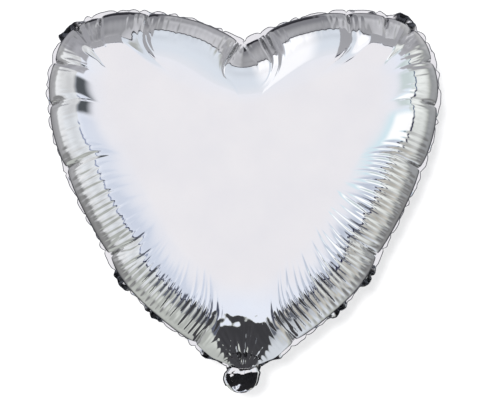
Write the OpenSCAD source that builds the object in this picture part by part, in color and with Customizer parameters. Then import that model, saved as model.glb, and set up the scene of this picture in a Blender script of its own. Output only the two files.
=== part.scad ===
// Heart-shaped foil balloon, inflated: two metallised film panels heat sealed round their border,
// a flat self-closing film valve in the neck, and a short inflation tail that folds at the neck.
// Millimetres. The origin is in the middle of the neck, where a ribbon or a stick cup holds the
// balloon. +Z points up to the notch of the heart and -Y is the front.

/* [Balloon] */
// Width of the inflated balloon across its perimeter seal
balloon_w = 382; // [372:1:400]
// Depth of each inflated panel at the middle of the heart
panel_depth = 85; // [60:1:95]
// Wall thickness that each panel's film is drawn with
film_t = 0.5; // [0.4:0.1:0.6]

/* [Border] */
// Width of the sealed border outside the perimeter seal
border_w = 6; // [4:0.5:7]
// Extra width of the border at the middle of each scallop
scallop_w = 1.5; // [0:0.5:2]

/* [Tail] */
// Width of the inflation tail
tail_w = 33; // [32:1:34]
// Length of the tail from its fold to its rounded end
tail_len = 22.5; // [20:0.5:26]
// Width of the sealed edge along each side of the tail
tail_seal_w = 3; // [2:0.5:4]

/* [Valve] */
// Width of the two valve films
valve_w = 26; // [22:1:26]
// Length of the valve above the neck
valve_len = 80; // [60:1:95]
// Thickness that each valve film is drawn with
valve_film_t = 0.15; // [0.1:0.05:0.15]

/* [Hidden] */
$fn = 96;

// Right half of the perimeter seal of a balloon that is drawn_w wide, as [X, Z], from the notch
// over the lobe and down to the neck
drawn_w = 382;
half_outline = [
    [0, 320], [22, 331], [52, 342], [95, 350], [140, 348], [170, 334], [187, 304], [191, 260],
    [175, 198], [139, 124], [115, 84], [74, 45], [27, 9], [15, 2]
];
neck_end = [14, -2.8];        // lower right corner of the neck
heart_centre = [0, 215];      // middle of the heart, where both panels are deepest
k = balloon_w / drawn_w;      // scale from those points to the balloon
arc_steps = 5;                // points on the outline for each given one
neck_steps = 6;               // steps across the lower end of the neck
rings = 11;                   // rings of facets between the seal and the middle of a panel
scallop_len = 24;             // length of one scallop of the border

neck_bottom = k * neck_end[1];
notch_share = 0.4;            // least X of the border beside the notch, as a share of the seal's X
neck_hem = 0.3;               // width of the border under the neck
neck_seal_w = 2.6;            // width of the border at each side of the neck
neck_h = 22;                  // height over which the panels start to swell above the neck
slim_share = 0.5;             // share of the full depth that is left where the heart is narrow
full_z = 175;                 // height where the panels reach their full depth

seal_t = 0.4;                 // thickness that the fused seal between two films is drawn with
ply_back = seal_t / 2;        // depth of a film's inner face where it is sealed
ply_face = ply_back + film_t; // depth of its outer face there

neck_gap = 1.5;               // clearance between the neck's hem and the tail's fold
tail_gap = 1.2;               // clearance between the fold and the tail, so that the tail can turn
fold_z = neck_bottom - neck_hem - neck_gap; // height of the fold, which is the tail's hinge line

mouth_h = 6;                  // height of the tail's open mouth

coat_t = 0.1;                 // thickness of the release coat inside the valve
coat_h = 9;                   // height of the release coat
coat_margin = 1;              // clearance between the release coat and the valve's edge seals
valve_seal_w = 2;             // width of the seal along each side of the valve

// ---- outline ----

function unit(v) = v / norm(v);
function smooth(v) = let (u = max(0, min(1, v))) u * u * (3 - 2 * u);
function mirrored(p) = [-p[0], p[1]];

// Point at share t of the stretch from b to c, on a smooth curve through a, b, c and d
function between(a, b, c, d, t) =
    0.5 * (2 * b + (c - a) * t + (2 * a - 5 * b + 4 * c - d) * t * t + (3 * b - a - 3 * c + d) * t * t * t);
// Given point i. The ends repeat, so that the notch and the neck stay sharp
function given(i) = half_outline[max(0, min(len(half_outline) - 1, i))];

half_curve = k * concat(
    [
        for (i = [0 : len(half_outline) - 2], s = [0 : arc_steps - 1])
            between(given(i - 1), given(i), given(i + 1), given(i + 2), s / arc_steps)
    ],
    [given(len(half_outline) - 1), neck_end]
);
neck_i = len(half_curve) - 1; // index of the neck's lower right corner
neck_corner = half_curve[neck_i];
// Whole outline: down the right side, across the neck and up the left side
outline = concat(
    half_curve,
    [for (s = [1 : neck_steps - 1]) [neck_corner[0] * (1 - 2 * s / neck_steps), neck_corner[1]]],
    [for (i = [neck_i : -1 : 1]) mirrored(half_curve[i])]
);
count = len(outline);

function point(i) = outline[(i + count) % count];
function outward(i) = let (d = unit(point(i + 1) - point(i - 1))) [-d[1], d[0]];
// Length along the outline from the notch to each point
lengths = [for (i = 0, sum = 0; i < count; sum = sum + norm(point(i + 1) - point(i)), i = i + 1) sum];
scallops = 2 * round(lengths[count - 1] / scallop_len / 2);
function scallop_at(i) = scallop_w * abs(sin(180 * scallops * lengths[i % count] / lengths[count - 1]));
function border_at(i) =
    let (share = smooth((point(i)[1] - 8) / 12)) neck_seal_w * (1 - share) + (border_w + scallop_at(i)) * share;
// The border stays on its own side of the notch, and ends just under the neck
function border_point(i) = let (p = point(i), q = p + border_at(i) * outward(i))
    [sign(p[0]) * max(sign(p[0]) * q[0], notch_share * abs(p[0])), max(q[1], neck_bottom - neck_hem)];
border_outline = [for (i = [0 : count - 1]) border_point(i)];

// ---- inflated panels ----

middle = k * heart_centre;
// Share of the way from the middle to the seal at ring r. Rings crowd at the seal, where the film curves
function share(r) = cos(90 * r / rings);
// The heart is slimmer towards the neck, and flat in it
function slimness(z) =
    (slim_share + (1 - slim_share) * smooth(z / full_z)) * smooth((z - neck_end[1]) / neck_h);
function swell(z, r, depth) = depth * sqrt(1 - share(r) * share(r)) * slimness(z / k);
function plan_point(i, r, inset) = middle + (point(i) - middle - inset * unit(point(i) - middle)) * share(r);

// One face of the front panel, from the border's edge to the last ring before the middle. flat is its
// depth where it is sealed, deep its depth at the middle, and inset how far it lies inside the outer face
function face_points(flat, deep, inset) = concat(
    [for (p = border_outline) [p[0], -flat, p[1]]],
    [
        for (r = [0 : rings - 1], i = [0 : count - 1])
            let (p = plan_point(i, r, r == 0 ? 0 : inset)) [p[0], -flat - swell(p[1], r, deep - flat), p[1]]
    ],
    [[middle[0], -deep, middle[1]]]
);
rows = rings + 1;
function ring_faces(start) = [
    for (r = [0 : rows - 2], i = [0 : count - 1])
        let (a = start + r * count + i, b = start + r * count + (i + 1) % count) [a, a + count, b + count, b]
];
function cap_faces(start) = [
    for (i = [0 : count - 1])
        let (last = start + (rows - 1) * count) [last + i, start + rows * count, last + (i + 1) % count]
];
function flipped(faces) = [for (f = faces) [for (i = [len(f) - 1 : -1 : 0]) f[i]]];

module panel() {
    inner_start = rows * count + 1;
    outer = face_points(ply_face, panel_depth, 0);
    inner = face_points(ply_back, panel_depth - film_t, film_t);
    edge = [for (i = [0 : count - 1]) let (n = (i + 1) % count) [i, n, inner_start + n, inner_start + i]];
    polyhedron(
        points = concat(outer, inner),
        faces = concat(
            ring_faces(0), cap_faces(0), flipped(ring_faces(inner_start)), flipped(cap_faces(inner_start)), edge
        )
    );
}
module front_panel() {
    color("silver") panel();
}
module back_panel() {
    color("silver") mirror([0, 1, 0]) panel();
}

// ---- flat films and seals ----

// A flat shape, given as X and Z, with its front at depth y and t thick
module film(y, t) {
    translate([0, y + t, 0]) rotate([90, 0, 0]) linear_extrude(t) children();
}

// Fused band between the borders of the two panels, from one side of the neck round the heart to
// the other. The lower end of the neck is left open for the valve
module perimeter_seal() {
    first = neck_i + neck_steps;
    last = neck_i + count;
    color("gainsboro") film(-seal_t / 2, seal_t) polygon(
        concat([for (i = [first : last]) border_point(i)], [for (i = [last : -1 : first]) point(i)])
    );
}

module strip(w, bottom, top) {
    translate([-w / 2, bottom]) square([w, top - bottom]);
}
module valve_film(y) {
    color("whitesmoke") film(y, valve_film_t) strip(valve_w, neck_bottom, valve_len);
}
module valve_front_film() {
    valve_film(-coat_t / 2 - valve_film_t);
}
module valve_back_film() {
    valve_film(coat_t / 2);
}
// Both sides of the valve are sealed, which leaves a flat channel that the gas presses shut
module valve_edge_seals() {
    color("gainsboro") film(-coat_t / 2, coat_t) difference() {
        strip(valve_w, neck_bottom, valve_len);
        strip(valve_w - 2 * valve_seal_w, neck_bottom - 1, valve_len + 1);
    }
}
// Printed coat that keeps the channel open where the perimeter seal was pressed across the valve
module valve_release_coat() {
    color("lightsteelblue") film(-coat_t / 2, coat_t)
        strip(valve_w - 2 * valve_seal_w - 2 * coat_margin, neck_bottom, neck_bottom + coat_h);
}

// ---- tail ----

module tail_shape(inset) {
    r = tail_w / 2 - inset;
    round_z = fold_z - tail_len + tail_w / 2;
    top = fold_z - tail_gap;
    difference() {
        union() {
            translate([0, round_z]) circle(r);
            strip(2 * r, round_z, top);
        }
        translate([-tail_w, top]) square([2 * tail_w, tail_w]);
    }
}
module tail_front_ply() {
    color("silver") film(-ply_face, film_t) tail_shape(0);
}
module tail_back_ply() {
    color("silver") film(ply_back, film_t) tail_shape(0);
}
// The two sides of the tail are sealed. Its rounded end is open, for the inflating nozzle
module tail_edge_seals() {
    open_z = fold_z - tail_len + mouth_h;
    color("gainsboro") film(-seal_t / 2, seal_t) difference() {
        tail_shape(0);
        tail_shape(tail_seal_w);
        translate([-tail_w, open_z - tail_len]) square([2 * tail_w, tail_len]);
    }
}

front_panel();
back_panel();
perimeter_seal();
valve_front_film();
valve_back_film();
valve_edge_seals();
valve_release_coat();
tail_front_ply();
tail_back_ply();
tail_edge_seals();
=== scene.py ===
"""Heart-shaped foil balloon in a plain white studio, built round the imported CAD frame.

The film panels are dense meshes: an inflated dome over the heart, pleated along the seal, with the
bonded border outside it. The balloon's shapes are worked out in millimetres, and turned into metres
when a mesh is made. The studio is in metres.
"""
import math

import bpy
import numpy as np
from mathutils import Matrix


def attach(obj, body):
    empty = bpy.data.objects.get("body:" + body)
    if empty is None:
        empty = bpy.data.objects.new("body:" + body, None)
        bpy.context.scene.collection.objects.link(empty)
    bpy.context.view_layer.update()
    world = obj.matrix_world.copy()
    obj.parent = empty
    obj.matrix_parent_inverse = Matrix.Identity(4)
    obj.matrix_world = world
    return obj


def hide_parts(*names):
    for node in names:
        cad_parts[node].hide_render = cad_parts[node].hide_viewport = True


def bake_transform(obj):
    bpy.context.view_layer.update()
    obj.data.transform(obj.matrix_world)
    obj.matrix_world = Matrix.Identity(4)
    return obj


MM = 0.001
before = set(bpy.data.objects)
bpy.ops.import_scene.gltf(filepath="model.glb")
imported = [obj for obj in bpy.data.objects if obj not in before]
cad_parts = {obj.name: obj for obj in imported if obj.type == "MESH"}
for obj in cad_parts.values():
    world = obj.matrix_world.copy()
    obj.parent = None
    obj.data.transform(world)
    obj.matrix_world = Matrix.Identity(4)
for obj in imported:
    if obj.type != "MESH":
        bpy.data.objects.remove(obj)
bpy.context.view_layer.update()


# ---- the heart's outline -------------------------------------------------------------------------

# Right half of the perimeter seal, [X, Z] in millimetres, as in the CAD source
HALF_OUTLINE = [
    (0, 320), (22, 331), (52, 342), (95, 350), (140, 348), (170, 334), (187, 304), (191, 260),
    (175, 198), (139, 124), (115, 84), (74, 45), (27, 9), (15, 2),
]
NECK_END = (14, -2.8)
CENTRE = np.array([0.0, 215.0])
COLUMNS = 1120        # points round the seal


def spline(points, steps):
    """Points on a smooth curve through the given ones, with sharp ends."""
    p = np.array([points[0]] + list(points) + [points[-1]], float)
    t = (np.arange(steps) / steps)[:, None]
    rows = []
    for a, b, c, d in zip(p[:-3], p[1:-2], p[2:-1], p[3:]):
        rows.append(0.5 * (2 * b + (c - a) * t + (2 * a - 5 * b + 4 * c - d) * t**2
                           + (3 * b - a - 3 * c + d) * t**3))
    return np.concatenate(rows + [p[-1:]])


def seal_outline():
    """The whole seal, clockwise from the notch as seen from the front, and the length to each point."""
    right = np.concatenate([spline(HALF_OUTLINE, 40), [NECK_END]])
    left = right[::-1] * [-1, 1]
    line = np.concatenate([right, left])
    steps = np.linalg.norm(np.diff(line, axis=0), axis=1)
    at = np.concatenate([[0], np.cumsum(steps)])
    s = np.arange(COLUMNS) * at[-1] / COLUMNS
    even = np.stack([np.interp(s, at, line[:, 0]), np.interp(s, at, line[:, 1])], axis=1)
    return even, s, at[-1]


SEAL, SEAL_S, SEAL_LEN = seal_outline()


def outward_directions():
    """Unit vectors in the plane of the seal, pointing out of the heart at each seal point."""
    along = np.roll(SEAL, -2, 0) - np.roll(SEAL, 2, 0)
    along /= np.linalg.norm(along, axis=1)[:, None]
    return np.stack([-along[:, 1], along[:, 0]], axis=1)


OUT = outward_directions()


def smoothstep(lo, hi, v):
    """0 up to lo, 1 from hi on, and a smooth rise between them."""
    u = np.clip((np.asarray(v, float) - lo) / (hi - lo), 0, 1)
    return u * u * (3 - 2 * u)


def place_s(x, z):
    """Length along the seal, clockwise from the notch, to the seal point nearest to (x, z)."""
    gaps = np.hypot(SEAL[:, 0] - x, SEAL[:, 1] - z)
    return SEAL_S[gaps.argmin()]


def gap_along(s, place):
    """Length along the seal from a place to s, taken the short way round and negative if s comes first."""
    return (s - place + SEAL_LEN / 2) % SEAL_LEN - SEAL_LEN / 2


# ---- the smooth inflated shape -------------------------------------------------------------------

DEPTH = 84.0         # depth of one panel at the middle of the heart
NECK_Z = -3.5        # where the flat slope above the neck starts
NECK_SLOPE = 1.0     # how fast it rises
SLOPE_EDGE = 6       # how sharply that slope meets the rest of the dome
FLAT_ANGLE = 30      # the slope is flat this many degrees to either side of the middle line
TUBE_ANGLE = 66      # beyond that it rounds off, down to its side at this angle
TUBE_DROP = 0.7      # share of its height that it has lost there
BATCH = 4000         # points worked out at a time, to keep the memory small


def nearest_on_seal(points):
    """For each plan point: distance to the seal, and the length along the seal of its nearest point."""
    a, b = SEAL, np.roll(SEAL, -1, 0)
    ab = b - a
    seg = np.linalg.norm(ab, axis=1)
    dist, s = np.empty(len(points)), np.empty(len(points))
    for start in range(0, len(points), BATCH):
        p = points[start:start + BATCH]
        j = ((p[:, None, 0] - a[None, :, 0]) ** 2 + (p[:, None, 1] - a[None, :, 1]) ** 2).argmin(1)
        best_d = np.full(len(p), 1e9)
        best_s = np.zeros(len(p))
        for shift in (-1, 0):
            i = (j + shift) % COLUMNS
            t = np.clip(((p - a[i]) * ab[i]).sum(1) / seg[i] ** 2, 0, 1)
            d = np.linalg.norm(p - a[i] - ab[i] * t[:, None], axis=1)
            closer = d < best_d
            best_d = np.where(closer, d, best_d)
            best_s = np.where(closer, SEAL_S[i] + t * seg[i], best_s)
        dist[start:start + BATCH] = best_d
        s[start:start + BATCH] = best_s
    return dist, s


def soft_distance(points):
    """A distance to the seal that is exact beside it and stays smooth in the middle of the heart."""
    weight = SEAL_LEN / COLUMNS
    out = np.empty(len(points))
    for start in range(0, len(points), BATCH):
        p = points[start:start + BATCH]
        gap2 = (p[:, None, 0] - SEAL[None, :, 0]) ** 2 + (p[:, None, 1] - SEAL[None, :, 1]) ** 2
        out[start:start + BATCH] = np.sqrt(2 / (weight / np.maximum(gap2, 1e-6) ** 1.5).sum(1))
    return out


def dome_height(points, dist):
    """Height of the smooth panel over the seam plane: an oval section, cut by a flat slope at the neck."""
    near = smoothstep(3, 9, dist)
    soft = soft_distance(points) * near + dist * (1 - near)
    middle = soft_distance(CENTRE[None, :])[0]
    share = (soft / (math.sqrt(2) * middle)) ** 2
    oval = DEPTH * np.sqrt(np.maximum(np.sqrt(share**2 + 4 * share) - share, 0))
    x, z = points[:, 0], points[:, 1] - NECK_Z
    angle = np.degrees(np.arctan2(np.abs(x), z))
    beyond = np.maximum(angle - FLAT_ANGLE, 0) / (TUBE_ANGLE - FLAT_ANGLE)
    slope = NECK_SLOPE * z * np.maximum(1 - TUBE_DROP * beyond**2, 0.1) + 1
    return oval * slope / (oval**SLOPE_EDGE + slope**SLOPE_EDGE) ** (1 / SLOPE_EDGE)


# ---- rings of the panel mesh ---------------------------------------------------------------------

FINE_RINGS = 56       # rings beside the seal, with all the columns
FINE_REACH = 76.0     # how far they reach in from the seal
FINE_CROWDING = 1.7   # above 1: the rings stand closer beside the seal
COARSE = ((560, 11), (280, 8), (140, 6), (70, 4))   # columns and rings further in


def ring_plan():
    """Plan points of each ring from the seal to the middle, and each point's place along the seal."""
    inward = CENTRE - SEAL
    reach = np.linalg.norm(inward, axis=1)
    inward /= reach[:, None]
    rings, own_s = [], []
    for r in range(FINE_RINGS + 1):
        d = FINE_REACH * (r / FINE_RINGS) ** FINE_CROWDING
        rings.append(SEAL + inward * d)
        own_s.append(SEAL_S)
    total = sum(n for _, n in COARSE)
    done = 0
    for columns, count in COARSE:
        step = COLUMNS // columns
        for _ in range(count):
            done += 1
            left = (1 - done / (total + 0.6)) ** 0.9
            d = reach - (reach - FINE_REACH) * left
            rings.append((SEAL + inward * d[:, None])[::step])
            own_s.append(SEAL_S[::step])
    return rings, own_s


# ---- pleats and creases --------------------------------------------------------------------------

# Places of the deep creases between pillows, [X, Z] at the seal in millimetres
CREASES = [
    (-5, 322), (16, 328), (22, 331),
    (-95, 350), (-142, 348), (-165, 337), (-187, 304), (-191, 260), (-175, 198), (-132, 112), (-48, 25),
    (103, 350), (141, 347), (167, 335), (187, 304), (191, 260), (175, 198), (132, 112), (50, 27),
]


class Valley:
    """One crease or pleat: a groove in the film that runs in from the seal, narrowing and fading.

    s is its place along the seal and start says how far in it begins. slant and bend give its course.
    """

    def __init__(self, s, depth, width, reach, start=0.0, slant=0.0, bend=0.0):
        self.s, self.depth, self.width, self.reach = s, depth, width, reach
        self.start, self.slant, self.bend = start, slant, bend

    def push(self, s, d, arc):
        """Displacement at points with length s along the seal, distance d and film length arc from it."""
        path = self.s + self.slant * d + self.bend * d * d / 100
        off = gap_along(s, path)
        near = (np.abs(off) < 7 * self.width) & (d < self.reach) & (d > self.start * 0.3)
        out = np.zeros(len(s))
        t = d[near] / self.reach
        width = self.width * (1 - 0.55 * t)
        shape = np.exp(-(np.sqrt(off[near] ** 2 + 0.35) - 0.59) / width)
        fade = (1 - smoothstep(0.35, 1.0, t)) * smoothstep(self.start * 0.3, self.start + 2, d[near])
        fade *= smoothstep(0, 7, arc[near])
        out[near] = -self.depth * shape * fade
        return out


NOTCH_HALF = 30      # creases this near the middle line start at the notch, and run further in
NECK_PLEATS_Z = 34   # below this height the pleats give way to the neck's own folds
FAN_CREASES = 9      # slighter creases fanned out beside each deep one


def crease_places():
    """Length along the seal to each deep crease, in order."""
    return np.sort([place_s(x, z) for x, z in CREASES])


def nearness(s, places, reach):
    """1 beside one of the places along the seal, falling to 0 at some distance from all of them."""
    return math.exp(-(np.abs(gap_along(s, places)).min() / reach) ** 2)


def pleat_strength(x, z, low):
    """From 0 to 1, how much deeper and longer the pleats are: all the lower right, and the lowest left."""
    lowest_left = (1 - smoothstep(60, 110, z)) * smoothstep(20, 50, -x)
    return low * smoothstep(20, 70, x) + 0.7 * lowest_left


def seal_point(s):
    """The [X, Z] of the seal at length s along it."""
    return SEAL[int(s / SEAL_LEN * COLUMNS) % COLUMNS]


def fine_pleats(rng):
    """The close, even pleats all round the seal: strong on the lower sides and beside the creases."""
    places = crease_places()
    out, s = [], 4.0
    while s < SEAL_LEN - 4:
        x, z = seal_point(s)
        low = 1 - smoothstep(170, 250, z)
        beside = nearness(s, places, 13)
        strong = pleat_strength(x, z, low)
        reach = rng.uniform(24, 34) + low * rng.uniform(8, 32) + beside * 8 + strong * 14
        depth = rng.uniform(0.7, 1.2) * (0.22 + 0.42 * low + 0.3 * beside + 0.45 * strong)
        depth *= 0.25 + 0.75 * smoothstep(16, NECK_PLEATS_Z, z)
        out.append(Valley(s, depth, rng.uniform(1.0, 1.5), reach, rng.uniform(4, 9),
                          rng.normal(0, 0.03), rng.normal(0, 0.05)))
        s += rng.uniform(5.4, 7.2)
    return out


def long_pleats(rng):
    """Longer, deeper pleats at uneven places, mostly along the two lower sides."""
    out, s = [], 12.0
    while s < SEAL_LEN - 12:
        x, z = seal_point(s)
        low = 1 - smoothstep(160, 250, z)
        strong = pleat_strength(x, z, low)
        if z > NECK_PLEATS_Z:
            depth = rng.uniform(0.3, 0.8) * (0.3 + 0.8 * low + 0.7 * strong)
            width = rng.uniform(1.4, 2.4)
            reach = rng.uniform(30, 44) + low * rng.uniform(12, 36) + strong * 14
            out.append(Valley(s, depth, width, reach, rng.uniform(8, 18),
                              rng.normal(0, 0.06), rng.normal(0, 0.1)))
        s += rng.uniform(9, 22) * (1.6 - 0.7 * low)
    return out


def deep_creases(rng):
    """The creases that part the pillows: each a wide valley with a sharp one in it and a fan beside it."""
    out = []
    for x, z in CREASES:
        s = place_s(x, z)
        slant = rng.normal(0, 0.08)
        out.append(Valley(s, rng.uniform(0.7, 1.3), 1.7, rng.uniform(18, 26), 0.4, slant))
        out.append(Valley(s, rng.uniform(2.2, 3.0), 0.55, rng.uniform(13, 18), 0.2, slant))
        if abs(x) < NOTCH_HALF:
            out.append(Valley(s, 1.3, 0.7, 52, 0.5, slant))
        for _ in range(FAN_CREASES):
            out.append(Valley(s + rng.normal(0, 6), rng.uniform(0.3, 0.8), rng.uniform(0.8, 1.5),
                              rng.uniform(22, 46), rng.uniform(5, 16), rng.normal(0, 0.14)))
    return out


PILLOW_ARCH = 0.3           # below 1: full pillows, with narrow creases between them
PILLOW_RISE = 0.085         # a pillow's swell, as a share of its length along the seal
PILLOW_SIZE = (1.6, 5.0)    # the least and the most that it swells
PILLOW_REACH = (18, 62)     # the least and the most that its swell reaches in from the seal


def pillow_swell(s, d, arc):
    """The bulge of each pillow between two deep creases, out over the border."""
    marks = np.concatenate([[0.0], crease_places(), [SEAL_LEN]])
    i = np.clip(np.searchsorted(marks, s, side="right") - 1, 0, len(marks) - 2)
    t = (s - marks[i]) / (marks[i + 1] - marks[i])
    arch = np.maximum(4 * t * (1 - t), 0) ** PILLOW_ARCH
    length = marks[i + 1] - marks[i]
    size = np.clip(PILLOW_RISE * length, *PILLOW_SIZE)
    reach = np.clip(1.3 * length, *PILLOW_REACH)
    fade = 1 - smoothstep(0, 1, d / reach)
    return (size * arch * fade - 1.0 + smoothstep(0, 40, d)) * smoothstep(0, 8, arc)


# The two square-shouldered pillows: [X, Z] at the seal, half length, height, and how far in they swell
SQUARE_PILLOWS = [(-142, 348, 46, 6.0, 36), (146, 347, 38, 4.5, 33)]
SHOULDER_WIDTH = 12


def square_shoulders(s, d):
    """A swelling set in from the seal, that squares off the shoulders of two pillows."""
    out = np.zeros(len(s))
    for x, z, half, height, far_in in SQUARE_PILLOWS:
        share = 1 - smoothstep(half * 0.45, half, np.abs(gap_along(s, place_s(x, z))))
        out += height * share * np.exp(-((d - far_in) / SHOULDER_WIDTH) ** 2)
    return out


def crumple(u, v, rng, folds=7, scale=8.0):
    """Sharp-edged random facets, about -1 to 1: what crushed film looks like at places (u, v).

    folds is how many zigzags are added up, and scale their mean length in millimetres.
    """
    out = np.zeros(np.shape(u))
    total = 0
    for _ in range(folds):
        angle = rng.uniform(0, math.pi)
        pitch = scale * rng.uniform(0.5, 1.6)
        size = pitch / scale
        turn = (u * math.cos(angle) + v * math.sin(angle)) / pitch + rng.uniform(0, 2)
        out += size * (2 * np.abs(turn % 2 - 1) - 1)
        total += size * size
    return out / math.sqrt(total)


NECK_FOLDS = 16
NECK_FAN = 38        # the folds lie within this many degrees of the middle line


def neck_folds(points, dist, rng):
    """Upright folds that fan out from the neck, and a crushed patch at their top."""
    x, z = points[:, 0], points[:, 1] - NECK_Z
    away = np.hypot(x, z)
    angle = np.degrees(np.arctan2(x, z))
    near = (1 - smoothstep(38, 62, away)) * smoothstep(2, 9, away) * smoothstep(2, 12, dist)
    out = np.zeros(len(points))
    for _ in range(NECK_FOLDS):
        at = rng.uniform(-NECK_FAN, NECK_FAN)
        wide = rng.uniform(1.6, 3.2)
        reach = rng.uniform(30, 60)
        depth = rng.uniform(0.3, 1.0)
        out -= depth * np.exp(-np.abs(angle - at) / wide) * (1 - smoothstep(reach - 14, reach, away))
    patch = np.exp(-((x + 2) / 30) ** 2 - ((z - 55) / 8) ** 2)
    return out * near + 0.45 * patch * crumple(x, z, rng, 8, 6.0)


def seam_fields(rings, own_s):
    """Distance to the seal and a smooth length along it for every panel point."""
    points = np.concatenate(rings)
    dist, s_near = nearest_on_seal(points)
    own = np.concatenate(own_s)
    blend = smoothstep(25, 85, dist)
    return points, dist, (s_near + gap_along(own, s_near) * blend) % SEAL_LEN


def wrinkle_heights(points, dist, s, arc, rng):
    """Displacement of the film along its normal, in millimetres."""
    off_middle = smoothstep(0.1, 0.5, np.abs(points[:, 0]) / (dist + 1))
    off_neck = smoothstep(60, 110, points[:, 1])
    w = np.zeros(len(points))
    for valley in fine_pleats(rng) + long_pleats(rng):
        w += valley.push(s, dist, arc)
    w *= np.clip(off_middle + off_neck, 0, 1)
    for valley in deep_creases(rng):
        w += valley.push(s, dist, arc)
    return w + pillow_swell(s, dist, arc) + square_shoulders(s, dist) + neck_folds(points, dist, rng)


# ---- meshes --------------------------------------------------------------------------------------

def ring_normals(ring_points):
    """Outward normals at the points of rings that may have different column counts."""
    normals = []
    count = len(ring_points)
    for r, ring in enumerate(ring_points):
        n = len(ring)
        inner = ring_points[min(r + 1, count - 1)]
        outer = ring_points[max(r - 1, 0)]
        inner = inner if len(inner) == n else np.repeat(inner, n // len(inner), axis=0)
        outer = outer[:: len(outer) // n]
        across = inner - outer
        around = np.roll(ring, -1, 0) - np.roll(ring, 1, 0)
        normal = np.cross(across, around)
        length = np.linalg.norm(normal, axis=1)
        normals.append(normal / np.maximum(length, 1e-9)[:, None])
    return normals


def ring_faces(sizes):
    """Quads and triangles that join rings of the given sizes, from the outside in, with a cap."""
    faces, start = [], 0
    for n, m in zip(sizes[:-1], sizes[1:]):
        i = np.arange(m)
        k = n // m
        a, b = start + i * k, start + ((i + 1) * k) % n
        c, d = start + n + i, start + n + (i + 1) % m
        if k == 1:
            faces += np.stack([a, b, d, c], axis=1).tolist()
        else:
            half = start + i * k + 1
            faces += np.stack([a, half, c], axis=1).tolist()
            faces += np.stack([half, b, d, c], axis=1).tolist()
        start += n
    last = sizes[-1]
    faces += [[start + i, start + (i + 1) % last, start + last] for i in range(last)]
    return faces


def make_mesh(name, points, faces, material):
    """A smooth-shaded piece from points in millimetres."""
    mesh = bpy.data.meshes.new(name)
    mesh.from_pydata((np.asarray(points) * MM).tolist(), [], faces)
    mesh.validate()
    mesh.update()
    mesh.shade_smooth()
    mesh.materials.append(material)
    piece = bpy.data.objects.new(name, mesh)
    bpy.context.scene.collection.objects.link(piece)
    return piece


# ---- the bonded border ---------------------------------------------------------------------------

BORDER_W = 5.8        # width of the border at the tops of its scallops
SCALLOP_DEPTH = 3.2
SCALLOP_LENGTH = 22
NECK_BORDER_W = 2.2
BORDER_ROWS = 6
BORDER_SEED = 7       # both panels and the seal draw the same border from it
FILM_GAP = 0.25       # how far each panel lies from the seam plane, at the border and the seal
CRUSH_WIDER = 3.4     # how much wider a crushed place is
CRUSH_LEAN = 4.8      # how far its facets lean out of the seam plane
# Crushed places of the border, [X, Z] at the seal
CRUSHED = [(-172, 333), (-118, 88), (-86, 56), (-30, 11), (160, 340), (120, 92), (90, 60), (26, 8)]


def border_shape(rng):
    """For each column: the border's width, and a wave that says how its edge leans from the seam plane."""
    wave = np.zeros(COLUMNS)
    for wavelength, size in ((43, 0.9), (27, 0.7), (15, 0.3)):
        turns = round(SEAL_LEN / wavelength)
        wave += size * np.sin(2 * math.pi * turns * SEAL_S / SEAL_LEN + rng.uniform(0, 6.28))
    scallops = round(SEAL_LEN / SCALLOP_LENGTH)
    phase = scallops * SEAL_S / SEAL_LEN * math.pi + 0.8 * wave
    width = BORDER_W - SCALLOP_DEPTH + SCALLOP_DEPTH * np.abs(np.sin(phase)) ** 0.7
    width = width + CRUSH_WIDER * crushed_share()
    above_neck = smoothstep(6, 18, SEAL[:, 1])
    width = width * above_neck + NECK_BORDER_W * (1 - above_neck)
    return width, wave * (0.15 + 0.85 * above_neck)


def crushed_share():
    """For each column, from 0 to 1, how crushed the border is there."""
    share = np.zeros(COLUMNS)
    for x, z in CRUSHED:
        away = np.abs(gap_along(SEAL_S, place_s(x, z)))
        share = np.maximum(share, 1 - smoothstep(8, 14, away))
    return share


def border_rows():
    """Points of the border's middle surface, from its outer edge to just outside the seal."""
    width, wave = border_shape(np.random.default_rng(BORDER_SEED))
    crushed = crushed_share()
    out = []
    for r in range(BORDER_ROWS, 0, -1):
        e = r / BORDER_ROWS
        reach = width * e * (1 - 0.1 * np.abs(wave) * e)
        facets = crumple(SEAL_S, width * e, np.random.default_rng(5), 7, 5.0)
        y = 0.6 * wave * e**1.3 + CRUSH_LEAN * crushed * e * facets
        plan = SEAL + OUT * reach[:, None]
        out.append(np.stack([plan[:, 0], y, plan[:, 1]], axis=1))
    return out


# The bead's section, [out, Y] from the border's outer edge
BEAD = [(0, -0.2), (0.05, -0.36), (0.6, -0.36), (0.8, 0), (0.6, 0.36), (0.05, 0.36), (0, 0.2)]
BAND_HALF = 0.15      # half the band's thickness beside the seal


def seal_band(material):
    """The fused band between the two borders, with a thin bead round its outer edge."""
    rows = border_rows()
    outer, inner = rows[0], rows[-1]
    lean = np.stack([OUT[:, 0], np.zeros(COLUMNS), OUT[:, 1]], axis=1)
    strips = [outer + lean * out_by + [0, y, 0] for out_by, y in BEAD]
    strips += [inner + [0, BAND_HALF, 0], inner + [0, -BAND_HALF, 0]]
    count = len(strips)
    faces = []
    for r in range(count):
        here, following = r * COLUMNS, (r + 1) % count * COLUMNS
        for i in range(COLUMNS):
            j = (i + 1) % COLUMNS
            faces.append([here + i, here + j, following + j, following + i])
    return make_mesh("seal_band", np.concatenate(strips), faces, material)


CREASE_SHADE_LINE = 13      # how far the painted shade line in a deep crease reaches in
NOTCH_SHADE_LINE = 34       # the same for the creases at the notch


def border_painted_dark_reflection():
    """For each point of the border's rows, 1 where a facet of a crushed place gets painted dark reflection:
    near-black painted into the foil where the film would mirror a dark surround.
    """
    share = crushed_share()
    rows = []
    for row in range(BORDER_ROWS):
        facets = crumple(SEAL_S, np.full(COLUMNS, row * 1.1), np.random.default_rng(8), 5, 3.5)
        rows.append(share * smoothstep(-0.9, -0.6, facets))
    return np.concatenate(rows)


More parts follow.
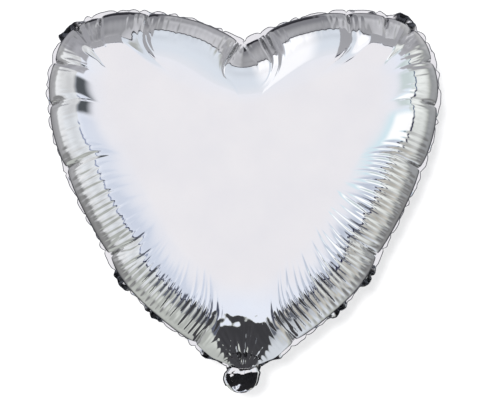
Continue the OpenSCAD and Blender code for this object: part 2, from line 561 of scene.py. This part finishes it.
def crease_painted_shade(s, d):
    """For points of the film, above 0 on the thin lines of painted shade at the bottom of the deep creases.
    """
    marks = np.zeros(len(s))
    for x, z in CREASES:
        off = np.abs(gap_along(s, place_s(x, z)))
        reach = NOTCH_SHADE_LINE if abs(x) < NOTCH_HALF else CREASE_SHADE_LINE
        line = (1 - smoothstep(0.3, 1.1, off)) * (1 - smoothstep(0.5 * reach, reach, d))
        marks = np.maximum(marks, line)
    return marks * (0.8 * smoothstep(0, 0.5, d))


# ---- the inflation tail --------------------------------------------------------------------------

TAIL_TOP, TAIL_END = -1.2, -27.0
TAIL_HALF = 17.2      # half its width
TAIL_WAIST = 3.4      # how much less that is at the neck
TAIL_X = -2.5         # its lower part hangs this far off the middle line
TAIL_ROUND = TAIL_HALF * 0.92     # height of its rounded end
TAIL_EDGE = 0.3       # half the gap between the plies at their edges
TAIL_COLUMNS, TAIL_ROWS = 72, 70
TAIL_FRONT_SEED, TAIL_BACK_SEED = 31, 41


def tail_points(side, seed):
    """One crumpled ply of the tail: columns across it, rows from the neck to its rounded end."""
    rng = np.random.default_rng(seed)
    v = np.linspace(0, 1, TAIL_ROWS + 1)
    u = np.linspace(-1, 1, TAIL_COLUMNS + 1)
    z = TAIL_TOP + (TAIL_END - TAIL_TOP) * v
    below = np.minimum(z - (TAIL_END + TAIL_ROUND), 0)
    end = np.sqrt(np.clip(1 - (below / TAIL_ROUND) ** 2, 0, 1))
    half = (TAIL_HALF - TAIL_WAIST * (1 - smoothstep(0, 0.25, v))) * end
    uu, vv = np.meshgrid(u, v)
    x = TAIL_X * smoothstep(0, 0.5, vv) + uu * half[:, None]
    zz = np.repeat(z[:, None], TAIL_COLUMNS + 1, axis=1)
    full = np.clip(1 - uu**2, 0, 1) ** 0.5 * np.clip(end[:, None], 0, 1) ** 0.7
    depth = TAIL_EDGE + full * (2.0 + 4.2 * np.sin(math.pi * np.clip(vv * 0.9 + 0.08, 0, 1)))
    large = 1.5 * crumple(x, zz, rng, 6, 11.0)
    small = 0.6 * crumple(x, zz, rng, 6, 4.5)
    depth = np.maximum(depth + full * (large + small), TAIL_EDGE)
    return np.stack([x, side * depth, zz], axis=2)


def grid_faces(rows, columns, turned):
    """Quads over a grid of points, facing the other way if turned."""
    faces = []
    for r in range(rows):
        for c in range(columns):
            a = r * (columns + 1) + c
            face = [a, a + 1, a + columns + 2, a + columns + 1]
            faces.append(face[::-1] if turned else face)
    return faces


def tail_ply(name, side, seed, material):
    """One ply of the tail. side is -1 for the front and 1 for the back."""
    points = tail_points(side, seed)
    faces = grid_faces(TAIL_ROWS, TAIL_COLUMNS, side < 0)
    return make_mesh(name, points.reshape(-1, 3), faces, material)


# Section of a side seal, [out, Y] from the tail's edge
STRIP = [(-1.2, 0.0), (0.2, -0.3), (1.1, 0.0), (0.2, 0.3)]


def strip_rows(edge, lean, rng):
    """One side seal: its section's four corners, swept down the tail's edge with a slight flutter."""
    flutter = 0.5 * np.sin(np.arange(len(edge)) * 0.5 + lean) + rng.normal(0, 0.05, len(edge))
    rows = []
    for across, y in STRIP:
        row = edge + [lean * across, y, 0]
        row[:, 1] += flutter * max(across, 0)
        rows.append(row)
    return rows


def strip_faces(start, n):
    """Faces of a strip of four rows of n points, with both of its ends closed."""
    faces = []
    for r in range(4):
        here, following = start + r * n, start + (r + 1) % 4 * n
        for i in range(n - 1):
            faces.append([here + i, here + i + 1, following + i + 1, following + i])
    top = [start + r * n for r in range(4)]
    bottom = [start + r * n + n - 1 for r in (3, 2, 1, 0)]
    return faces + [top, bottom]


def tail_seals(material):
    """The fused strips down both sides of the tail, between its plies."""
    rng = np.random.default_rng(3)
    points = tail_points(1, TAIL_BACK_SEED)
    rows, faces = [], []
    for column, lean in ((0, -1), (TAIL_COLUMNS, 1)):
        edge = points[: TAIL_ROWS * 3 // 4, column, :].copy()
        edge[:, 1] = 0
        faces += strip_faces(len(rows) * len(edge), len(edge))
        rows += strip_rows(edge, lean, rng)
    return make_mesh("tail_side_seals", np.concatenate(rows), faces, material)


# ---- the two film panels -------------------------------------------------------------------------

def dome_normals(base, points, plan):
    """Unit normals of the smooth dome, turned outward."""
    rings = np.split(base, np.cumsum([len(ring) for ring in plan])[:-1])
    normals = np.concatenate(ring_normals(rings))
    normals[:, 1] = np.abs(normals[:, 1])
    outward = np.sign((normals[:, [0, 2]] * (points - CENTRE)).sum(1))
    normals[:, 0] *= outward
    normals[:, 2] *= outward
    return normals


FRONT_SEED, BACK_SEED = 11, 23


def film_panel(name, side, seed, material):
    """One panel: border, seal and dome. side is -1 for the front and 1 for the back."""
    plan, own_s = ring_plan()
    points, dist, s = seam_fields(plan, own_s)
    base = np.stack([points[:, 0], dome_height(points, dist), points[:, 1]], axis=1)
    arc = np.hypot(dist, base[:, 1])
    w = wrinkle_heights(points, dist, s, arc, np.random.default_rng(seed))
    film = base + dome_normals(base, points, plan) * w[:, None]
    film[:, 1] = np.maximum(film[:, 1], 0) + FILM_GAP
    film[:, 1] *= side
    border = [row + [0, side * FILM_GAP, 0] for row in border_rows()]
    middle_y = film[-len(plan[-1]):, 1].mean() + side * 0.02
    middle = [[CENTRE[0], middle_y, CENTRE[1]]]
    faces = ring_faces([COLUMNS] * len(border) + [len(ring) for ring in plan])
    if side < 0:
        faces = [f[::-1] for f in faces]
    piece = make_mesh(name, np.concatenate(border + [film, middle]), faces, material)
    # The dark attribute holds painted shade along the deep creases and painted dark reflection on the
    # crushed border.
    marks = np.concatenate([border_painted_dark_reflection(), crease_painted_shade(s, dist), [0]])
    piece.data.attributes.new("dark", "FLOAT", "POINT").data.foreach_set("value", marks)
    return piece


# ---- materials -----------------------------------------------------------------------------------

def new_material(name):
    """A new material, its nodes and links, and its shader."""
    material = bpy.data.materials.new(name)
    material.use_nodes = True
    nodes = material.node_tree.nodes
    shader = nodes["Principled BSDF"]
    return material, nodes, material.node_tree.links, shader


def foil_material():
    """Vacuum-metallised film: a near mirror with a faint mottle, with painted shade and painted dark
    reflection mixed in as near-black where the mesh's dark attribute is above 0.
    """
    material, nodes, links, shader = new_material("foil_silver")
    where = nodes.new("ShaderNodeTexCoord")
    mottle = nodes.new("ShaderNodeTexNoise")
    mottle.inputs["Scale"].default_value = 22
    mottle.inputs["Detail"].default_value = 4
    ramp = nodes.new("ShaderNodeValToRGB")
    ramp.color_ramp.elements[0].position = 0.3
    ramp.color_ramp.elements[0].color = (0.90, 0.905, 0.925, 1)
    ramp.color_ramp.elements[1].position = 0.7
    ramp.color_ramp.elements[1].color = (0.945, 0.945, 0.95, 1)
    rough = nodes.new("ShaderNodeMapRange")
    rough.inputs["To Min"].default_value = 0.035
    rough.inputs["To Max"].default_value = 0.075
    links.new(where.outputs["Object"], mottle.inputs["Vector"])
    links.new(mottle.outputs["Fac"], ramp.inputs["Fac"])
    # Painted shade in the deep creases and painted dark reflection on the crushed border: near-black mixed
    # into the foil's colour by the mesh's dark attribute.
    dark = nodes.new("ShaderNodeAttribute")
    dark.attribute_name = "dark"
    colour = nodes.new("ShaderNodeMix")
    colour.data_type = "RGBA"
    colour.inputs["B"].default_value = (0.02, 0.02, 0.022, 1)
    links.new(dark.outputs["Fac"], colour.inputs["Factor"])
    links.new(ramp.outputs["Color"], colour.inputs["A"])
    links.new(colour.outputs["Result"], shader.inputs["Base Color"])
    links.new(mottle.outputs["Fac"], rough.inputs["Value"])
    links.new(rough.outputs["Result"], shader.inputs["Roughness"])
    shader.inputs["Metallic"].default_value = 1
    return material


def plain_film_material(name, colour, rough, clear=1.0, metallic=0.0, scale=90):
    """Thin film with a slight grain: colour and roughness wander a little over it. clear is its alpha."""
    material, nodes, links, shader = new_material(name)
    where = nodes.new("ShaderNodeTexCoord")
    grain = nodes.new("ShaderNodeTexNoise")
    grain.inputs["Scale"].default_value = scale
    grain.inputs["Detail"].default_value = 5
    ramp = nodes.new("ShaderNodeValToRGB")
    ramp.color_ramp.elements[0].color = (*[c * 0.86 for c in colour], 1)
    ramp.color_ramp.elements[1].color = (*[min(1, c * 1.04) for c in colour], 1)
    wander = nodes.new("ShaderNodeMapRange")
    wander.inputs["To Min"].default_value = rough * 0.75
    wander.inputs["To Max"].default_value = rough * 1.3
    dent = nodes.new("ShaderNodeBump")
    dent.inputs["Strength"].default_value = 0.3
    dent.inputs["Distance"].default_value = 0.0002
    links.new(where.outputs["Object"], grain.inputs["Vector"])
    links.new(grain.outputs["Fac"], ramp.inputs["Fac"])
    links.new(grain.outputs["Fac"], wander.inputs["Value"])
    links.new(grain.outputs["Fac"], dent.inputs["Height"])
    links.new(ramp.outputs["Color"], shader.inputs["Base Color"])
    links.new(wander.outputs["Result"], shader.inputs["Roughness"])
    links.new(dent.outputs["Normal"], shader.inputs["Normal"])
    shader.inputs["Metallic"].default_value = metallic
    shader.inputs["Alpha"].default_value = clear
    return material


# ---- studio --------------------------------------------------------------------------------------

VIEW_X, VIEW_Z = 0.0065, 0.162    # the camera looks level at this place in the seam plane
VIEW_W = 0.5                      # width that it sees there
LENS, SENSOR = 100.0, 36


def make_camera():
    """A level camera straight in front, so far away that the picture is VIEW_W wide at the seam plane."""
    data = bpy.data.cameras.new("camera")
    data.lens = LENS
    data.sensor_width = SENSOR
    camera = bpy.data.objects.new("camera", data)
    camera.location = (VIEW_X, -LENS / SENSOR * VIEW_W, VIEW_Z)
    camera.rotation_euler = (math.pi / 2, 0, 0)
    bpy.context.scene.collection.objects.link(camera)
    bpy.context.scene.camera = camera


class Sky:
    """Builds the studio surround as a function of direction.

    off is the angle from the front axis, and clock the angle round it, from the top and clockwise as
    seen from the front. Both are in degrees.
    """

    def __init__(self, tree):
        self.nodes, self.links = tree.nodes, tree.links
        where = self.nodes.new("ShaderNodeTexCoord")
        parts = self.nodes.new("ShaderNodeSeparateXYZ")
        self.links.new(where.outputs["Generated"], parts.inputs[0])
        self.where = where.outputs["Generated"]
        x, y, z = parts.outputs
        self.off = self.math("MULTIPLY", self.math("ARCCOSINE", self.math("MULTIPLY", y, -1)), 180 / math.pi)
        self.clock = self.math("MULTIPLY", self.math("ARCTAN2", x, z), 180 / math.pi)
        self.colour = None

    def math(self, kind, a, b=None):
        """The output of a new math node, fed with numbers or sockets."""
        node = self.nodes.new("ShaderNodeMath")
        node.operation = kind
        for socket, value in zip(node.inputs, (a, b)):
            if value is None:
                continue
            if isinstance(value, (int, float)):
                socket.default_value = value
            else:
                self.links.new(value, socket)
        return node.outputs[0]

    def step(self, value, at_0, at_1):
        """A smooth step from 0 to 1 between two values."""
        node = self.nodes.new("ShaderNodeMapRange")
        node.interpolation_type = "SMOOTHSTEP"
        node.inputs["From Min"].default_value = at_0
        node.inputs["From Max"].default_value = at_1
        self.links.new(value, node.inputs["Value"])
        return node.outputs["Result"]

    def ramp(self, value, lo, hi, soft):
        """1 where value lies between lo and hi, with edges that are soft degrees wide."""
        rise = self.step(value, lo - soft / 2, lo + soft / 2)
        fall = self.step(value, hi + soft / 2, hi - soft / 2)
        return self.math("MULTIPLY", rise, fall)

    def lay(self, colour, share=None):
        """Lays a colour over what is there already, where share is above 0. The first one fills it all."""
        if self.colour is None:
            node = self.nodes.new("ShaderNodeRGB")
            node.outputs[0].default_value = (*colour, 1)
            self.colour = node.outputs[0]
            return
        node = self.nodes.new("ShaderNodeMix")
        node.data_type = "RGBA"
        self.links.new(share, node.inputs["Factor"])
        self.links.new(self.colour, node.inputs["A"])
        node.inputs["B"].default_value = (*colour, 1)
        self.colour = node.outputs["Result"]

    def clutter(self, amount):
        """Lets the surround wander a little in brightness, as a real room does, but not in front."""
        noise = self.nodes.new("ShaderNodeTexNoise")
        noise.inputs["Scale"].default_value = 1.7
        noise.inputs["Detail"].default_value = 1
        self.links.new(self.where, noise.inputs["Vector"])
        far = self.ramp(self.off, 72, 400, 16)
        swing = self.math("MULTIPLY", self.math("SUBTRACT", noise.outputs["Fac"], 0.5), 4 * amount)
        gain = self.math("ADD", self.math("MULTIPLY", swing, far), 1.0)
        node = self.nodes.new("ShaderNodeVectorMath")
        node.operation = "SCALE"
        self.links.new(self.colour, node.inputs[0])
        self.links.new(gain, node.inputs["Scale"])
        self.colour = node.outputs[0]

    def card(self, colour, off, clock, soft_off=4, soft_clock=6, share=1.0):
        """A card between two values of off and of clock. soft_off and soft_clock are its edges' widths."""
        in_off = self.ramp(self.off, *off, soft_off)
        in_clock = self.ramp(self.clock, *clock, soft_clock)
        self.lay(colour, self.math("MULTIPLY", self.math("MULTIPLY", in_off, in_clock), share))


# The surround is laid in this order, and later cards cover earlier ones
ALL_ROUND = (-200, 200)


def lay_sides(sky):
    """A pale grey room, with pale cards to the left and right and darker ones behind them."""
    sky.lay((0.50, 0.52, 0.49))
    sky.card((0.74, 0.75, 0.76), (60, 119), (-124, -62), 8, 6)
    sky.card((0.84, 0.87, 0.90), (60, 102), (-118, -92), 14, 8)
    sky.card((0.40, 0.40, 0.41), (119, 190), (-127, -62), 8, 8)
    sky.card((0.68, 0.70, 0.68), (60, 112), (56, 122), 14, 10)
    sky.card((0.38, 0.39, 0.40), (116, 190), (56, 135), 10, 10)
    sky.card((0.60, 0.58, 0.53), (60, 112), (122, 143), 12, 8)
    sky.card((0.56, 0.59, 0.63), (60, 150), (143, 163), 12, 6)
    sky.card((0.50, 0.51, 0.50), (60, 112), (106, 124), 10, 8)
    sky.card((0.28, 0.28, 0.28), (110, 190), (106, 128), 12, 8)
    sky.card((0.25, 0.25, 0.25), (112, 190), (-128, -108), 12, 8)


def lay_above(sky):
    """Grey cards above and above behind, paler to the right of the middle."""
    sky.card((0.34, 0.34, 0.36), (60, 190), (-62, -30), 5, 8)
    sky.card((0.42, 0.42, 0.43), (60, 190), (28, 62), 5, 8)
    sky.card((0.24, 0.24, 0.26), (90, 190), (-30, 2), 4, 6)
    sky.card((0.42, 0.42, 0.44), (94, 116), (-30, 2), 16, 6)
    sky.card((0.64, 0.64, 0.67), (90, 190), (2, 28), 4, 6)
    sky.card((0.34, 0.34, 0.36), (124, 190), (2, 28), 12, 6)


def lay_front(sky):
    """The white front, bluish at its edges, with cards over its rim, and a black one high behind."""
    sky.card((0.84, 0.88, 0.97), (-10, 69.5), ALL_ROUND, 1.5)
    sky.card((0.75, 0.80, 0.87), (50, 93), (-30, 24), 1, 8)
    sky.card((0.885, 0.868, 0.895), (-10, 50), ALL_ROUND, 26)
    sky.card((0.40, 0.40, 0.43), (58, 119), (-64, -30), 2, 6)
    sky.card((0.46, 0.46, 0.49), (62, 119), (30, 56), 3, 6)
    sky.card((1.05, 1.05, 1.08), (51, 93), (-26, -8), 2, 7)
    sky.card((0.62, 0.65, 0.73), (43, 51), (-24, -16), 3, 4, 0.7)
    sky.card((0.70, 0.86, 0.92), (45, 74), (88, 110), 7, 8)
    sky.card((1.1, 1.1, 1.1), (50, 77), (90, 105), 5, 5)
    sky.card((0.02, 0.02, 0.025), (136, 190), (-30, -3), 7, 5)


def lay_low(sky):
    """Darker things to the sides and low in front, which mostly the flanks of the pleats catch."""
    sky.card((0.62, 0.70, 0.70), (52, 78), (62, 84), 10, 8)
    sky.card((0.08, 0.08, 0.10), (58, 70), (142, 152), 3, 4)
    sky.card((0.40, 0.42, 0.50), (60, 70), (-164, -150), 3, 4)
    sky.card((0.66, 0.71, 0.82), (48, 66), (-106, -92), 9, 6, 0.6)
    sky.card((0.66, 0.71, 0.82), (50, 69.5), (-160, -106), 16, 8)
    sky.card((0.56, 0.61, 0.71), (52, 69.5), (108, 143), 14, 8)
    sky.card((0.14, 0.15, 0.18), (64, 92), (141, 158), 6, 6)
    sky.card((0.10, 0.11, 0.15), (60, 90), (-162, -145), 5, 5)


def lay_edges(sky):
    """Thin dark edges between the cards."""
    blue_black = (0.01, 0.01, 0.05)
    sky.card(blue_black, (77.5, 81), (93, 106), 1)
    sky.card((0.08, 0.12, 0.20), (77.5, 80), (66, 93), 1)
    sky.card(blue_black, (69.5, 72.5), (108, 152), 1)
    sky.card(blue_black, (69.5, 72), (-152, -120), 1)
    sky.card((0.30, 0.34, 0.48), (69.5, 72), (-120, -97), 1)
    sky.card((0.05, 0.05, 0.06), (93, 95), (-30, 28), 0.8)


def lay_dark(sky):
    """A dark card at the left, the dark floor, and the dark room behind with its paler middle."""
    sky.card((0.09, 0.10, 0.11), (51, 70), (-90, -71), 10, 4)
    sky.card((0.05, 0.05, 0.055), (71, 190), (162, 190), 2, 3)
    sky.card((0.05, 0.05, 0.055), (71, 190), (-190, -162), 2, 3)
    sky.card((0.06, 0.06, 0.07), (150, 190), ALL_ROUND, 16)
    sky.card((0.45, 0.46, 0.48), (168, 190), ALL_ROUND, 16)


def make_surround():
    """The studio as the balloon reflects it, and plain white for the camera."""
    world = bpy.data.worlds.new("studio")
    bpy.context.scene.world = world
    world.use_nodes = True
    tree = world.node_tree
    tree.nodes.clear()
    sky = Sky(tree)
    for lay_part in (lay_sides, lay_above, lay_front, lay_low, lay_edges, lay_dark):
        lay_part(sky)
    sky.clutter(0.3)
    light = tree.nodes.new("ShaderNodeBackground")
    tree.links.new(sky.colour, light.inputs["Color"])
    plain = tree.nodes.new("ShaderNodeBackground")
    path = tree.nodes.new("ShaderNodeLightPath")
    both = tree.nodes.new("ShaderNodeMixShader")
    out = tree.nodes.new("ShaderNodeOutputWorld")
    plain.inputs["Color"].default_value = (1, 1, 1, 1)
    tree.links.new(path.outputs["Is Camera Ray"], both.inputs["Fac"])
    tree.links.new(light.outputs[0], both.inputs[1])
    tree.links.new(plain.outputs[0], both.inputs[2])
    tree.links.new(both.outputs[0], out.inputs["Surface"])
    bpy.context.scene.view_settings.view_transform = "Standard"


def one_sided_white():
    """Matt white paper that is only there from its front, so that it never hides the balloon."""
    material, nodes, links, shader = new_material("white_paper")
    shader.inputs["Base Color"].default_value = (0.5, 0.5, 0.5, 1)
    shader.inputs["Emission Color"].default_value = (1, 1, 1, 1)
    shader.inputs["Emission Strength"].default_value = 0.45
    shader.inputs["Roughness"].default_value = 1
    shader.inputs["Specular IOR Level"].default_value = 0
    side = nodes.new("ShaderNodeNewGeometry")
    clear = nodes.new("ShaderNodeBsdfTransparent")
    both = nodes.new("ShaderNodeMixShader")
    links.new(side.outputs["Backfacing"], both.inputs["Fac"])
    links.new(shader.outputs["BSDF"], both.inputs[1])
    links.new(clear.outputs["BSDF"], both.inputs[2])
    links.new(both.outputs["Shader"], nodes["Material Output"].inputs["Surface"])
    return material


def make_backdrop():
    """A pale floor that sweeps up into a wall close behind the balloon."""
    wall_y, floor_z, bend, steps = 0.1, -0.62, 0.16, 12
    front_y, top_z, half_width = -3.0, 2.2, 2.6
    profile = [(front_y, floor_z), (wall_y - bend, floor_z)]
    for i in range(1, steps + 1):
        a = i / steps * math.pi / 2
        profile.append((wall_y - bend + bend * math.sin(a), floor_z + bend - bend * math.cos(a)))
    profile.append((wall_y, top_z))
    verts = [(x, y, z) for y, z in profile for x in (-half_width, half_width)]
    faces = [(2 * i, 2 * i + 1, 2 * i + 3, 2 * i + 2) for i in range(len(profile) - 1)]
    mesh = bpy.data.meshes.new("backdrop")
    mesh.from_pydata(verts, [], faces)
    mesh.shade_smooth()
    mesh.materials.append(one_sided_white())
    backdrop = bpy.data.objects.new("backdrop", mesh)
    bpy.context.scene.collection.objects.link(backdrop)
    backdrop.visible_glossy = False


def stage_card(name, mesh):
    """Stands a card in the studio that is only seen in reflections."""
    card = bpy.data.objects.new(name, mesh)
    bpy.context.scene.collection.objects.link(card)
    card.visible_camera = False
    card.visible_diffuse = False
    card.visible_shadow = False


def make_flag():
    """A black card bent round the front of the tail, seen only as what the tail reflects."""
    radius, top_z, low_z = 0.024, -0.003, -0.045
    span = 75          # degrees that it reaches round to either side
    angles = [math.radians(a) for a in range(-span, span + 1, 10)]
    verts = [(radius * math.sin(a), -radius * math.cos(a), z) for a in angles for z in (top_z, low_z)]
    faces = [(2 * i, 2 * i + 1, 2 * i + 3, 2 * i + 2) for i in range(len(angles) - 1)]
    mesh = bpy.data.meshes.new("black_card")
    mesh.from_pydata(verts, [], faces)
    material, _, _, shader = new_material("black_card")
    shader.inputs["Base Color"].default_value = (0.02, 0.02, 0.022, 1)
    shader.inputs["Roughness"].default_value = 1
    shader.inputs["Specular IOR Level"].default_value = 0
    mesh.materials.append(material)
    stage_card("black_card", mesh)


def make_grey_cards():
    """Grey cards close above the two upper corners, so near that only the corner below each reflects it."""
    front, back, height, edge = -0.24, -0.02, 0.50, 0.016
    verts, faces = [], []
    for left, right in ((-0.32, -0.107), (0.108, 0.32)):
        for near, far in ((front, back), (front - edge, front)):
            n = len(verts)
            verts += [(left, near, height), (right, near, height), (right, far, height), (left, far, height)]
            faces.append((n, n + 1, n + 2, n + 3))
    mesh = bpy.data.meshes.new("grey_cards")
    mesh.from_pydata(verts, [], faces)
    for name, tone in (("grey_card", (0.36, 0.36, 0.38, 1)), ("grey_card_edge", (0.05, 0.05, 0.08, 1))):
        material, _, _, shader = new_material(name)
        shader.inputs["Base Color"].default_value = (0, 0, 0, 1)
        shader.inputs["Emission Color"].default_value = tone
        shader.inputs["Emission Strength"].default_value = 1
        mesh.materials.append(material)
    mesh.polygons.foreach_set("material_index", [0, 1, 0, 1])
    stage_card("grey_cards", mesh)


def make_key_light():
    """One soft lamp from the upper left, which lays the soft shadow to the lower right."""
    data = bpy.data.lights.new("key", "AREA")
    data.size = 0.25
    data.energy = 38
    lamp = bpy.data.objects.new("key", data)
    lamp.location = (-0.24, -2.3, 0.42)
    heart_middle = np.array([0.0, 0.0, 0.16])
    aim = heart_middle - np.array(lamp.location)
    lamp.rotation_euler = (math.atan2(math.hypot(aim[0], aim[1]), -aim[2]), 0, math.atan2(-aim[0], aim[1]))
    lamp.visible_glossy = False
    bpy.context.scene.collection.objects.link(lamp)


# ---- build ---------------------------------------------------------------------------------------

def place(piece, node, slot):
    """Stands a piece in for the CAD node, and hides the node. slot is not used.

    A piece of the balloon goes on the balloon's body; a piece of the tail goes on no body, and its place is
    baked into its mesh.
    """
    body = "tail" if node.startswith("tail") else "balloon"
    if body == "tail":
        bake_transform(piece)
    else:
        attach(piece, body)
    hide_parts(node)


make_camera()
make_surround()
make_backdrop()
make_flag()
make_grey_cards()
make_key_light()

foil = foil_material()
seal_film = plain_film_material("seal_film", (0.12, 0.125, 0.14), 0.25, metallic=1.0, scale=140)
valve_film = plain_film_material("valve_film", (0.88, 0.90, 0.92), 0.35, clear=0.6)
valve_seal = plain_film_material("valve_seal", (0.82, 0.84, 0.86), 0.25, scale=200)
coat = plain_film_material("release_coat", (0.60, 0.66, 0.74), 0.6, scale=400)

front_film = film_panel("front_film", -1, FRONT_SEED, foil)
back_film = film_panel("back_film", 1, BACK_SEED, foil)
tail_front = tail_ply("tail_front_film", -1, TAIL_FRONT_SEED, foil)
tail_back = tail_ply("tail_back_film", 1, TAIL_BACK_SEED, foil)
place(front_film, "front_panel", "foil_silver")
place(back_film, "back_panel", "foil_silver")
place(seal_band(seal_film), "perimeter_seal", "seal_film")
place(tail_front, "tail_front_ply", "foil_silver")
place(tail_back, "tail_back_ply", "foil_silver")
place(tail_seals(seal_film), "tail_edge_seals", "seal_film")
for node, material in (("valve_front_film", valve_film), ("valve_back_film", valve_film),
                       ("valve_edge_seals", valve_seal), ("valve_release_coat", coat)):
    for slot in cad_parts[node].material_slots:
        slot.material = material
